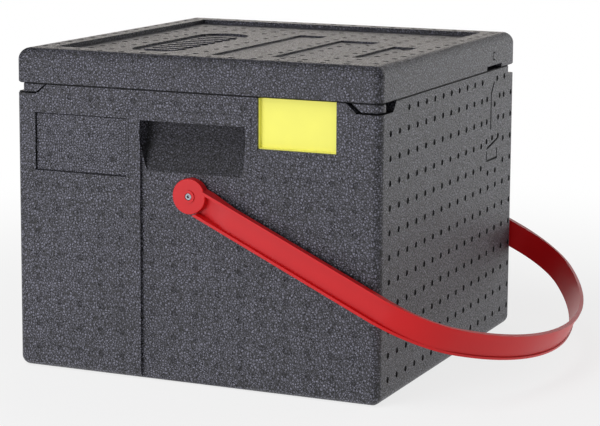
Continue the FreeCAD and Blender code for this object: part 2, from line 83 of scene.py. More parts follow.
# the planes each way that part a wall into cells, and where the first ones lie in mm
CELL_PLANES = 18
BOX_CELLS = (-192.2, -191.8, 10.6)
LID_CELLS = (-191.8, -191.8, 301.3)


# ---------------------------------------------------------------- settings

def linear(hex_colour):
    """An sRGB hex colour as linear red, green and blue."""
    parts = [int(hex_colour[place:place + 2], 16) / 255 for place in (1, 3, 5)]
    return [part / 12.92 if part <= 0.04045 else ((part + 0.055) / 1.055) ** 2.4
            for part in parts]


def size_setting(name, description, millimetres):
    """A length given in millimetres and kept in metres."""
    return bpy.props.FloatProperty(name=name, description=description,
                                   default=millimetres * MM, unit="LENGTH", precision=5)


def colour_setting(name, description, hex_colour):
    """A colour given as sRGB hex."""
    return bpy.props.FloatVectorProperty(name=name, description=description, subtype="COLOR",
                                         size=3, min=0, max=1, default=linear(hex_colour))


class FoamSettings(bpy.types.PropertyGroup):
    mark_pitch: size_setting("Mark pitch", "Distance between the steam vent marks", 24.75)
    mark_diameter: size_setting("Mark diameter", "Width of a steam vent mark", 7.2)
    mark_depth: size_setting("Mark depth", "How deep a vent mark is pressed in", 1.3)
    bead: size_setting("Bead size", "Width of one foam bead at the skin", 2.8)
    colour: colour_setting("Foam colour", "Colour of the bead foam skin", "#38383f")


class StrapSettings(bpy.types.PropertyGroup):
    colour: colour_setting("Strap colour", "Colour of the strap and pivot caps", "#cf1116")


class LabelSettings(bpy.types.PropertyGroup):
    edge_round: size_setting("Edge rounding", "Rounding of the plate's edges", 0.35)
    colour: colour_setting("Plate colour", "Colour of the label plate", "#fffb72")


class StudioSettings(bpy.types.PropertyGroup):
    camera_place: bpy.props.FloatVectorProperty(
        name="Camera place", description="Where the camera stands", subtype="XYZ",
        unit="LENGTH", default=(0.95785, -2.10237, 0.56937))
    camera_turn: bpy.props.FloatProperty(
        name="Camera turn", description="Turn to the left of the +Y direction",
        subtype="ANGLE", default=0.4161)
    camera_dip: bpy.props.FloatProperty(
        name="Camera dip", description="How far the camera looks down",
        subtype="ANGLE", default=0.1531)
    camera_roll: bpy.props.FloatProperty(
        name="Camera roll", description="Tilt about the line of sight",
        subtype="ANGLE", default=0.0062)
    lens: bpy.props.FloatProperty(
        name="Lens", description="Focal length", subtype="DISTANCE_CAMERA", default=127.91)
    floor_size: size_setting("Floor size", "Side of the pale floor", 12000)


# ---------------------------------------------------------------- nodes and materials

def add_node(tree, kind, settings=None, values=None, links=None):
    """One node with its settings, its input values and the sockets linked into it."""
    made = tree.nodes.new(kind)
    for name, setting in (settings or {}).items():
        setattr(made, name, setting)
    for name, value in (values or {}).items():
        made.inputs[name].default_value = value
    for name, source in (links or {}).items():
        tree.links.new(source, made.inputs[name])
    return made


def new_material(name):
    """An empty node material and its tree, with the shader already on the output."""
    material = bpy.data.materials.new(name)
    material.use_nodes = True
    tree = material.node_tree
    tree.nodes.clear()
    shader = add_node(tree, "ShaderNodeBsdfPrincipled")
    add_node(tree, "ShaderNodeOutputMaterial", links={"Surface": shader.outputs["BSDF"]})
    return material, tree, shader


# sockets of a Mix node that mixes colours
MIX_FIRST, MIX_SECOND, MIX_RESULT = 6, 7, 2
# the grain on a bead is about 0.3 mm wide in real foam, and is drawn as coarse as it needs to show
GRAIN = 1.6 * MM
PORE_SPACING = 4.4 * MM


def bead_foam(name, colour, bead, share, roughness):
    """Expanded polypropylene, steam moulded: flattened beads with fine pits where they meet.

    The eye gets a black, half-glossy skin with painted highlights on the beads' crowns, painted
    shade between them, painted glints, and pin holes darkened with painted shade.
    """
    material, tree, shader = new_material(name)
    place = add_node(tree, "ShaderNodeTexCoord").outputs["Object"]
    beads = add_node(tree, "ShaderNodeTexVoronoi", {"feature": "DISTANCE_TO_EDGE"},
                     {"Scale": 1 / bead, "Randomness": 0.9}, {"Vector": place})
    grain = add_node(tree, "ShaderNodeTexNoise", None,
                     {"Scale": 1 / GRAIN, "Detail": 1.0, "Roughness": 0.5}, {"Vector": place})
    drift = add_node(tree, "ShaderNodeTexNoise", None,
                     {"Scale": 1 / (60 * MM), "Detail": 3.0}, {"Vector": place})
    pores = add_node(tree, "ShaderNodeTexVoronoi", {"feature": "F1"},
                     {"Scale": 1 / PORE_SPACING, "Randomness": 1.0}, {"Vector": place})
    pit = add_node(tree, "ShaderNodeMapRange", {"interpolation_type": "SMOOTHSTEP"},
                   {"From Min": 0.13, "From Max": 0.23, "To Min": 1.0, "To Max": 0.0},
                   {"Value": pores.outputs["Distance"]})

    # painted highlight on the crown of each bead and painted shade in the gap round it
    depth = add_node(tree, "ShaderNodeMapRange", None,
                     {"From Min": 0.03, "From Max": 0.24, "To Min": 0.0, "To Max": 2.5},
                     {"Value": beads.outputs["Distance"]})
    # painted glints: fine specks that make the skin's colour brighter or darker
    painted_glints = add_node(tree, "ShaderNodeMapRange", None,
                     {"From Min": 0.35, "From Max": 0.68, "To Min": 0.3, "To Max": 2.1},
                     {"Value": grain.outputs["Fac"]})
    cloud = add_node(tree, "ShaderNodeMapRange", None,
                     {"From Min": 0.3, "From Max": 0.7, "To Min": 0.88, "To Max": 1.12},
                     {"Value": drift.outputs["Fac"]})
    pair = add_node(tree, "ShaderNodeMath", {"operation": "MULTIPLY"},
                    links={0: depth.outputs[0], 1: painted_glints.outputs[0]})
    amount = add_node(tree, "ShaderNodeMath", {"operation": "MULTIPLY"},
                      links={0: pair.outputs[0], 1: cloud.outputs[0]})
    tone = add_node(tree, "ShaderNodeVectorMath", {"operation": "SCALE"},
                    {0: [part * share for part in colour]}, {"Scale": amount.outputs[0]})
    # painted shade in the pin holes: their floors are drawn near black
    pin_hole_shade = add_node(tree, "ShaderNodeMix", {"data_type": "RGBA"},
                     links={"Factor": pit.outputs[0]})
    pin_hole_shade.inputs[MIX_SECOND].default_value = (0.003, 0.003, 0.003, 1)
    tree.links.new(tone.outputs["Vector"], pin_hole_shade.inputs[MIX_FIRST])
    tree.links.new(pin_hole_shade.outputs[MIX_RESULT], shader.inputs["Base Color"])

    gloss = add_node(tree, "ShaderNodeMapRange", None,
                     {"From Min": 0.3, "From Max": 0.7, "To Min": roughness + 0.1,
                      "To Max": roughness - 0.1}, {"Value": grain.outputs["Fac"]})
    tree.links.new(gloss.outputs[0], shader.inputs["Roughness"])
    shader.inputs["IOR"].default_value = 1.5

    domes = add_node(tree, "ShaderNodeBump", None,
                     {"Strength": 1.0, "Distance": 0.9 * MM},
                     {"Height": beads.outputs["Distance"]})
    fine = add_node(tree, "ShaderNodeBump", None, {"Strength": 1.0, "Distance": 0.4 * MM},
                    {"Height": grain.outputs["Fac"], "Normal": domes.outputs["Normal"]})
    holes = add_node(tree, "ShaderNodeBump", {"invert": True},
                     {"Strength": 1.0, "Distance": 0.8 * MM},
                     {"Height": pit.outputs[0], "Normal": fine.outputs["Normal"]})
    tree.links.new(holes.outputs["Normal"], shader.inputs["Normal"])
    return material


# each foam skin's share of the foam colour and its roughness; all but the first are darker skins
# of painted shade, in the marks, grooves, cuts and grip hollows, with a lighter copy for the faint
# marks
SKINS = {
    "bead_foam_skin": (1.0, 0.44),
    "bead_foam_vent": (0.16, 0.7),
    "bead_foam_grip": (0.4, 0.66),
    "bead_foam_faint_vent": (0.6, 0.55),
}


def foam_skin(foam, name):
    """One of the foam's skins, made when it is first asked for and then shared."""
    share, roughness = SKINS[name]
    if name not in bpy.data.materials:
        bead_foam(name, foam.colour, foam.bead, share, roughness)
    return bpy.data.materials[name]


def moulded_plastic(name, colour, roughness, orange_peel):
    """Plastic, injection moulded.

    The eye gets one even colour that drifts slightly where the melt flowed, under a satin skin
    with a faint orange peel.
    """
    material, tree, shader = new_material(name)
    place = add_node(tree, "ShaderNodeTexCoord").outputs["Object"]
    flow = add_node(tree, "ShaderNodeTexNoise", None,
                    {"Scale": 1 / (30 * MM), "Detail": 2.0}, {"Vector": place})
    skin = add_node(tree, "ShaderNodeTexNoise", None,
                    {"Scale": 1 / (1.4 * MM), "Detail": 2.0}, {"Vector": place})
    tone = add_node(tree, "ShaderNodeMixRGB", {"blend_type": "MIX"},
                    {"Color1": (*[part * 0.9 for part in colour], 1), "Color2": (*colour, 1)},
                    {"Fac": flow.outputs["Fac"]})
    tree.links.new(tone.outputs["Color"], shader.inputs["Base Color"])
    gloss = add_node(tree, "ShaderNodeMapRange", None,
                     {"To Min": roughness - 0.05, "To Max": roughness + 0.05},
                     {"Value": flow.outputs["Fac"]})
    tree.links.new(gloss.outputs["Result"], shader.inputs["Roughness"])
    bump = add_node(tree, "ShaderNodeBump", None,
                    {"Strength": 0.35, "Distance": orange_peel},
                    {"Height": skin.outputs["Fac"]})
    tree.links.new(bump.outputs["Normal"], shader.inputs["Normal"])
    shader.inputs["IOR"].default_value = 1.49
    shader.inputs["Specular IOR Level"].default_value = 0.3
    return material


def zinc_steel(name):
    """Steel, cold headed and zinc plated: the eye gets a grey metal with a blotchy shine."""
    material, tree, shader = new_material(name)
    place = add_node(tree, "ShaderNodeTexCoord").outputs["Object"]
    blotch = add_node(tree, "ShaderNodeTexNoise", None,
                      {"Scale": 1 / (2.5 * MM), "Detail": 4.0}, {"Vector": place})
    tone = add_node(tree, "ShaderNodeMixRGB", {"blend_type": "MIX"},
                    {"Color1": (*linear("#6d6d70"), 1), "Color2": (*linear("#97979a"), 1)},
                    {"Fac": blotch.outputs["Fac"]})
    tree.links.new(tone.outputs["Color"], shader.inputs["Base Color"])
    shader.inputs["Metallic"].default_value = 1.0
    gloss = add_node(tree, "ShaderNodeMapRange", None, {"To Min": 0.22, "To Max": 0.4},
                     {"Value": blotch.outputs["Fac"]})
    tree.links.new(gloss.outputs["Result"], shader.inputs["Roughness"])
    bump = add_node(tree, "ShaderNodeBump", None, {"Strength": 0.2, "Distance": 0.05 * MM},
                    {"Height": blotch.outputs["Fac"]})
    tree.links.new(bump.outputs["Normal"], shader.inputs["Normal"])
    return material


# ---------------------------------------------------------------- mesh helpers

def new_object(name, mesh):
    """An object in the scene that holds the mesh."""
    made = bpy.data.objects.new(name, mesh)
    bpy.context.scene.collection.objects.link(made)
    return made


def copy_of_node(node, name, join=False):
    """A closed copy of a CAD node's mesh; its flat faces can be joined into single faces."""
    mesh = bpy.data.meshes.new(name)
    work = bmesh.new()
    work.from_mesh(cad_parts[node].data)
    bmesh.ops.remove_doubles(work, verts=work.verts, dist=0.002 * MM)
    if join:
        bmesh.ops.dissolve_limit(work, angle_limit=math.radians(0.5), verts=work.verts,
                                 edges=work.edges, use_dissolve_boundaries=False)
    bmesh.ops.recalc_face_normals(work, faces=work.faces)
    for face in work.faces:
        face.material_index = 0
    work.to_mesh(mesh)
    work.free()
    if "custom_normal" in mesh.attributes:
        mesh.attributes.remove(mesh.attributes["custom_normal"])
    return new_object(name, mesh)


def flatten(thing):
    """The object with its modifiers turned into plain mesh."""
    graph = bpy.context.evaluated_depsgraph_get()
    graph.update()
    mesh = bpy.data.meshes.new_from_object(thing.evaluated_get(graph))
    name = thing.name
    old = thing.data
    thing.modifiers.clear()
    thing.data = mesh
    bpy.data.meshes.remove(old)
    mesh.name = name
    return thing


def shade(thing, angle):
    """Smooth shading that stays crisp where faces meet at more than the angle."""
    mesh = thing.data
    mesh.polygons.foreach_set("use_smooth", [True] * len(mesh.polygons))
    mesh.set_sharp_from_angle(angle=math.radians(angle))
    weighted = thing.modifiers.new("weighted", "WEIGHTED_NORMAL")
    weighted.keep_sharp = True
    weighted.weight = 90
    return flatten(thing)


def soften(thing, width, segments=2, angle=33):
    """Rounds the edges that meet at more than the angle."""
    bevel = thing.modifiers.new("edges", "BEVEL")
    bevel.width = width
    bevel.segments = segments
    bevel.limit_method = "ANGLE"
    bevel.angle_limit = math.radians(angle)
    bevel.miter_outer = "MITER_ARC"
    return flatten(thing)


def part_cells(thing, pitch, first):
    """Divides the faces into cells, one for each mark.

    The solver leaves cuts open or hangs on a single face with hundreds of holes.
    """
    work = bmesh.new()
    work.from_mesh(thing.data)
    for axis, start in enumerate(first):
        across = Vector([float(axis == place) for place in range(3)])
        for step in range(CELL_PLANES):
            bmesh.ops.bisect_plane(
                work, geom=[*work.verts, *work.edges, *work.faces], dist=0.001 * MM,
                plane_co=across * (start * MM + pitch * step), plane_no=across)
    work.to_mesh(thing.data)
    work.free()
    return thing


def finish_piece(thing, body, slot, *nodes):
    """Lets a piece move with its body and stand for its CAD nodes."""
    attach(thing, body)
    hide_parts(*nodes)
    return thing


def dress(node, material):
    """Gives a carried CAD node one material."""
    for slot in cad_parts[node].material_slots:
        slot.material = material


# ---------------------------------------------------------------- steam vent marks

def face_frame(origin, across, up, out):
    """Places marks on a face: a matrix whose X, Y and Z are across, up and out."""
    turn = Matrix((across, up, out)).transposed().to_4x4()
    return Matrix.Translation(origin) @ turn


# each flat side of the carrier, as a frame whose X and Y run across and up it
FACES = {
    "front": face_frame(Vector((0, -HALF, 0)), Vector((1, 0, 0)), Vector((0, 0, 1)),
                        Vector((0, -1, 0))),
    "right": face_frame(Vector((HALF, 0, 0)), Vector((0, 1, 0)), Vector((0, 0, 1)),
                        Vector((1, 0, 0))),
    "rear": face_frame(Vector((0, HALF, 0)), Vector((-1, 0, 0)), Vector((0, 0, 1)),
                       Vector((0, 1, 0))),
    "left": face_frame(Vector((-HALF, 0, 0)), Vector((0, -1, 0)), Vector((0, 0, 1)),
                       Vector((-1, 0, 0))),
    "base": face_frame(Vector((0, 0, 0)), Vector((1, 0, 0)), Vector((0, -1, 0)),
                       Vector((0, 0, -1))),
    "top": face_frame(Vector((0, 0, CROWN)), Vector((1, 0, 0)), Vector((0, 1, 0)),
                      Vector((0, 0, 1))),
}


def marks_object(name, places):
    """Points that carry the outward direction of the face they lie on."""
    mesh = bpy.data.meshes.new(name)
    mesh.from_pydata([spot for spot, out in places], [], [])
    outward = mesh.attributes.new("outward", "FLOAT_VECTOR", "POINT")
    for item, (spot, out) in zip(outward.data, places):
        item.vector = out
    return new_object(name, mesh)


def marks_on(face, spots, depth=0.0):
    """Spots given as across and up in millimetres, sunk by a depth in metres."""
    matrix = FACES[face]
    out = matrix.to_3x3() @ Vector((0, 0, 1))
    return [(matrix @ Vector((u * MM, v * MM, -depth)), out) for u, v in spots]


def vent_tree():
    """Presses vent marks into a moulding at every point of another object."""
    tree = bpy.data.node_groups.new("press_vent_marks", "GeometryNodeTree")
    face = tree.interface
    sockets = (("Moulding", "NodeSocketGeometry"), ("Marks", "NodeSocketObject"),
               ("Mark Diameter", "NodeSocketFloat"), ("Mark Depth", "NodeSocketFloat"),
               ("Sides", "NodeSocketInt"), ("Foam Skin", "NodeSocketMaterial"),
               ("Mark Skin", "NodeSocketMaterial"))
    for name, kind in sockets:
        face.new_socket(name, in_out="INPUT", socket_type=kind)
    face.new_socket("Moulding", in_out="OUTPUT", socket_type="NodeSocketGeometry")
    inputs = add_node(tree, "NodeGroupInput").outputs
    marks = add_node(tree, "GeometryNodeObjectInfo", {"transform_space": "RELATIVE"},
                     links={"Object": inputs["Marks"]})
    outward = add_node(tree, "GeometryNodeInputNamedAttribute", {"data_type": "FLOAT_VECTOR"},
                       {"Name": "outward"})
    turn = add_node(tree, "FunctionNodeAlignRotationToVector", {"axis": "Z"},
                    links={"Vector": outward.outputs["Attribute"]})
    radius = add_node(tree, "ShaderNodeMath", {"operation": "MULTIPLY"}, {1: 0.5},
                      {0: inputs["Mark Diameter"]})
    # a mark narrows towards its floor, and its cutter stands out of the face by its depth
    floor_radius = add_node(tree, "ShaderNodeMath", {"operation": "MULTIPLY"}, {1: 0.8},
                            {0: radius.outputs[0]})
    height = add_node(tree, "ShaderNodeMath", {"operation": "MULTIPLY"}, {1: 2.0},
                      {0: inputs["Mark Depth"]})
    cutter = add_node(tree, "GeometryNodeMeshCone", {"fill_type": "NGON"}, links={
        "Vertices": inputs["Sides"], "Radius Top": radius.outputs[0],
        "Radius Bottom": floor_radius.outputs[0], "Depth": height.outputs[0]})
    sink = add_node(tree, "ShaderNodeMath", {"operation": "MULTIPLY"}, {1: -1.0},
                    {0: inputs["Mark Depth"]})
    drop = add_node(tree, "ShaderNodeCombineXYZ", links={"Z": sink.outputs[0]})
    sunk = add_node(tree, "GeometryNodeTransform", links={
        "Geometry": cutter.outputs["Mesh"], "Translation": drop.outputs[0]})
    # the mark's walls and floor get the skin of painted shade
    skinned = add_node(tree, "GeometryNodeSetMaterial", links={
        "Geometry": sunk.outputs[0], "Material": inputs["Mark Skin"]})
    placed = add_node(tree, "GeometryNodeInstanceOnPoints", links={
        "Points": marks.outputs["Geometry"], "Instance": skinned.outputs[0],
        "Rotation": turn.outputs["Rotation"]})
    cutters = add_node(tree, "GeometryNodeRealizeInstances",
                       links={"Geometry": placed.outputs["Instances"]})
    pressed = add_node(tree, "GeometryNodeMeshBoolean",
                       {"operation": "DIFFERENCE", "solver": "MANIFOLD"},
                       links={"Mesh 1": inputs["Moulding"], "Mesh 2": cutters.outputs[0]})
    whole = add_node(tree, "GeometryNodeRealizeInstances",
                     links={"Geometry": pressed.outputs[0]})
    # the first slot is the plain skin; grooves, grips and marks keep their skins of painted shade
    bare = add_node(tree, "GeometryNodeInputMaterialIndex")
    unset = add_node(tree, "FunctionNodeCompare", {"data_type": "INT", "operation": "EQUAL"},
                     links={"A": bare.outputs[0]})
    finished = add_node(tree, "GeometryNodeSetMaterial", links={
        "Geometry": whole.outputs[0], "Selection": unset.outputs["Result"],
        "Material": inputs["Foam Skin"]})
    add_node(tree, "NodeGroupOutput", links={"Moulding": finished.outputs[0]})
    return tree


def run_tree(thing, tree, inputs):
    """Runs a geometry tree on an object and keeps the result as plain mesh."""
    modifier = thing.modifiers.new(tree.name, "NODES")
    modifier.node_group = tree
    for item in tree.interface.items_tree:
        if item.in_out == "INPUT" and item.name in inputs:
            modifier[item.identifier] = inputs[item.name]
    return flatten(thing)


def press_marks(moulding, foam, places, strength, skin):
    """Presses marks into a moulding at a share of their full depth, and gives the marks a skin of
    painted shade.
    """
    plain = foam_skin(foam, "bead_foam_skin")
    marks = marks_object("marks", places)
    run_tree(moulding, vent_tree(), {
        "Marks": marks, "Mark Diameter": foam.mark_diameter,
        "Mark Depth": foam.mark_depth * strength, "Sides": MARK_SIDES,
        "Foam Skin": plain, "Mark Skin": foam_skin(foam, skin)})
    bpy.data.objects.remove(marks)


def grid(pitch, us, vs):
    """Spots of a grid given by its first place and its count each way."""
    (u0, columns), (v0, rows) = us, vs
    return [(u0 + pitch * column, v0 + pitch * row)
            for row in range(rows) for column in range(columns)]


def outside(spots, *zones):
    """The spots that lie in none of the zones, each low u, low v, high u, high v."""
    return [(u, v) for u, v in spots
            if not any(a < u < c and b < v < d for a, b, c, d in zones)]


def side_marks(pitch):
    """The clear marks on the left and right walls and on the base, as all marks in mm."""
    # an even grid that makes room for the lift arrow and its sign, then a row under the rim,
    # then the loose marks round the arrow
    side = outside(grid(pitch, (-179.5, 16), (23, 11)), (104, 180, 162, 285))
    side += [(-154 + pitch * step, 291) for step in range(1, 15)]
    side += [(110, 271), (110, 246), (110, 224), (129, 226), (149, 226), (149, 247),
             (153, 271), (136, 263), (116, 188), (141, 188)]
    side = outside(side, (-190, 284, -160, 300), (170, 284, 200, 300), (118, 280, 140, 300))
    places = marks_on("right", side) + marks_on("left", side)
    return places + marks_on("base", grid(pitch, (-173, 15), (-173, 15)))


def front_marks(pitch):
    """The faint marks on the front and rear walls, with their grips and label fields."""
    wall = grid(pitch, (-180, 5), (23, 8)) + grid(pitch, (80, 5), (23, 9))
    wall += [(-190 + pitch * step, 290) for step in range(1, 11)]
    wall = outside(wall, (-210, 284, -160, 300))
    field = grid(24.5, (-166, 4), (228, 2))
    channel = outside(grid(pitch, (-47, 5), (23, 7)), (-26, 160, 30, 240))
    places = []
    for face in ENDS:
        places += marks_on(face, wall) + marks_on(face, field, LABEL_FIELD_DEPTH)
        places += marks_on(face, channel, CHANNEL_DEPTH)
    return places


def lid_marks(pitch):
    """Vent marks on the lid's border and in its recessed field."""
    border = [(-187, v) for v in range(-173, 190, 25)]
    border += [(187, v) for v in range(-175, 180, 25)]
    border += [(u, 187) for u in range(-162, 180, 25)]
    border += [(u, -188) for u in range(-164, 180, 25)]
    field = outside(grid(pitch, (-155, 13), (-158, 13)),
                    (-125, -142, -50, 82), (-20, -170, -6, 100), (-20, 86, 27, 104),
                    (44, -130, 58, 66), (44, 50, 104, 68), (120, -100, 134, 30),
                    (120, 18, 160, 34))
    panels = ((-13, -165, 20, 95), (51, -125, 98, 60), (127, -93, 155, 25))
    places = marks_on("top", border)
    for u, v in field:
        sunk = any(a < u < c and b < v < d for a, b, c, d in panels)
        depth = TOP_FIELD_DEPTH + (TOP_PANEL_DEPTH if sunk else 0)
        places += marks_on("top", [(u, v)], depth)
    return places


# ---------------------------------------------------------------- engraved features

def prism(work, matrix, outline, low, high):
    """A solid over a flat outline, given in millimetres, between two depths in metres."""
    floor = [work.verts.new(matrix @ Vector((u * MM, v * MM, low))) for u, v in outline]
    roof = [work.verts.new(matrix @ Vector((u * MM, v * MM, high))) for u, v in outline]
    count = len(outline)
    work.faces.new(floor[::-1])
    work.faces.new(roof)
    for place in range(count):
        after = (place + 1) % count
        work.faces.new((floor[place], floor[after], roof[after], roof[place]))


def stroke(start, end, width):
    """The outline of a straight stroke with round ends."""
    a, b = Vector(start), Vector(end)
    along = (b - a).normalized()
    angle = math.atan2(along.y, along.x)
    outline = []
    for centre, first in ((b, -math.pi / 2), (a, math.pi / 2)):
        for step in range(ROUND_STEPS + 1):
            turn = angle + first + math.pi * step / ROUND_STEPS
            outline.append((centre.x + math.cos(turn) * width / 2,
                            centre.y + math.sin(turn) * width / 2))
    return outline


def mesh_object(name, work):
    """An object from a finished mesh, with its faces turned outwards."""
    bmesh.ops.recalc_face_normals(work, faces=work.faces)
    mesh = bpy.data.meshes.new(name)
    work.to_mesh(mesh)
    work.free()
    return new_object(name, mesh)


def cutter_object(name, fill):
    """A solid made by a function that adds to a mesh."""
    work = bmesh.new()
    fill(work)
    return mesh_object(name, work)


def combine(thing, other, operation, skin=None):
    """A boolean with another object, which is used up and can leave a skin of its own."""
    if skin:
        other.data.materials.append(skin)
    modifier = thing.modifiers.new("combine", "BOOLEAN")
    modifier.material_mode = "TRANSFER" if skin else "INDEX"
    modifier.operation = operation
    modifier.solver = "MANIFOLD"
    modifier.object = other
    flatten(thing)
    bpy.data.objects.remove(other)
    return thing


def seam_groove(work):
    """The V between the lid's rim and the box's rim, all the way round."""
    rings = []
    for proud, rise in ((GROOVE_DEPTH, -GROOVE_RISE), (-GROOVE_DEPTH, 0),
                        (GROOVE_DEPTH, GROOVE_RISE)):
        ring = []
        reach = HALF + proud
        radius = GROOVE_CORNER + proud
        for corner in range(4):
            turn = Matrix.Rotation(math.pi / 2 * corner, 3, "Z")
            for step in range(ROUND_STEPS + 1):
                angle = math.pi / 2 * step / ROUND_STEPS
                spot = Vector((reach - radius + radius * math.cos(angle),
                               reach - radius + radius * math.sin(angle), SEAM + rise))
                ring.append(work.verts.new(turn @ spot))
        rings.append(ring)
    count = len(rings[0])
    for low, high in ((0, 1), (1, 2), (2, 0)):
        for place in range(count):
            after = (place + 1) % count
            work.faces.new((rings[low][place], rings[low][after],
                            rings[high][after], rings[high][place]))


def paint_grip_shade(box, skin):
    """Gives the hollows of the hand grips a darker skin of painted shade."""
    box.data.materials.append(skin)
    # just behind the channel's floor, so that the floor itself stays plain
    mouth = HALF - CHANNEL_DEPTH - 0.1 * MM
    for face in box.data.polygons:
        x, y, z = face.center
        if (abs(x) < CHANNEL_HALF and GRIP_BACK < abs(y) < mouth
                and GRIP_LOW < z < GRIP_HIGH):
            face.material_index = 1


def engrave(thing, faces, strokes, width, depth, skin=None):
    """Cuts strokes into walls, given in millimetres.

    Strokes that meet can't share a cut, so every other one is cut first. The second turn goes
    a hair deeper, because floors at one height would lie in each other.
    """
    for turn in (0, 1):
        chosen = strokes[turn::2]
        if chosen:
            work = bmesh.new()
            for face in faces:
                for start, end in chosen:
                    prism(work, FACES[face], stroke(start, end, width),
                          -(depth + 0.04 * turn) * MM, CUT_CLEAR)
            combine(thing, mesh_object("strokes", work), "DIFFERENCE", skin)


def path(*spots):
    """The strokes that join spots in order."""
    return list(zip(spots, spots[1:]))


# strokes as across and up on a wall in mm: a lift arrow and a plain tray sign beside it
LIFT_ARROW = path((124, 237), (124, 276), (133, 287))
LIFT_SIGN = path((112, 212), (112, 202), (146, 202), (146, 212)) + path((112, 216), (147, 223))
# the small bracket over the arrow on the lid's rim
LID_BRACKET = path((134, 313), (128, 313), (128, 321), (134, 321))
# the faint line that the mould's grip insert leaves
INSERT_LINE = path((-72, 200), (-72, 283), (66, 283), (66, 200))
# the outlines of the label field and of the channel's free side
FIELD_EDGE = path((-181.3, 271.3), (-181.3, 211.7), (-75.7, 211.7), (-75.7, 271.3),
                  (-181.3, 271.3))
CHANNEL_EDGE = path((57.7, 20), (57.7, 205))
# the open joint under the lid's corner tabs
FRONT_JOINTS = path((179, 292.2), (207, 292.2)) + path((-207, 292.2), (-181, 292.2))
SIDE_JOINTS = path((-207, 292.2), (-174, 292.2))

# what is cut into the box: walls, strokes, width and depth in mm, and whether the cut gets painted
# shade; the lid has one cut, with painted shade
SIDES = ("right", "left")
ENDS = ("front", "rear")
BOX_CUTS = (
    (SIDES, LIFT_ARROW, 2.8, 1.6, True),
    (SIDES, LIFT_SIGN, 2.4, 1.4, True),
    (ENDS, INSERT_LINE, 0.7, 0.35, False),
    (ENDS, FIELD_EDGE, 1.3, 2.8, True),
    (ENDS, CHANNEL_EDGE, 0.9, 4.3, True),
    (ENDS, FRONT_JOINTS, 2.0, 8, True),
    (SIDES, SIDE_JOINTS, 2.1, 8, True),
)
LID_CUT = (SIDES, LID_BRACKET, 1.6, 0.9)


def capsule(work):
    """The sunk capsule in the lid's top field."""
    prism(work, Matrix.Translation((0, 0, CROWN - TOP_FIELD_DEPTH)),
          stroke((-88, -105), (-88, 45), 60), -CAPSULE_DEPTH, CUT_CLEAR)


def capsule_ribs(work):
    """Low crosswise ribs that stand on the capsule's floor."""
    matrix = Matrix.Translation((0, 0, CROWN - TOP_FIELD_DEPTH - CAPSULE_DEPTH))
    for v in range(-102, 43, 18):
        prism(work, matrix, stroke((-104, v), (-72, v), 7), -1 * MM, 1.5 * MM)


# ---------------------------------------------------------------- operators

# each softbox: its name, place, side, power in watts and colour
SOFTBOXES = (
    ("front_softbox", (-1.15, -2.5, 0.4), 1.3, 37, "#f4f3ff"),
    ("high_softbox", (-0.6, -1.4, 2.4), 1.5, 26, "#ffffff"),
    ("back_softbox", (0.7, 3.0, 0.5), 2.0, 19, "#ffffff"),
    ("back_left_softbox", (-1.2, 2.7, 0.6), 1.5, 16, "#fff8f0"),
    ("right_softbox", (2.2, 2.2, 0.6), 1.5, 5, "#ffffff"),
)
ROOM_LIGHT = 0.13
FLOOR_DROP = 0.3 * MM


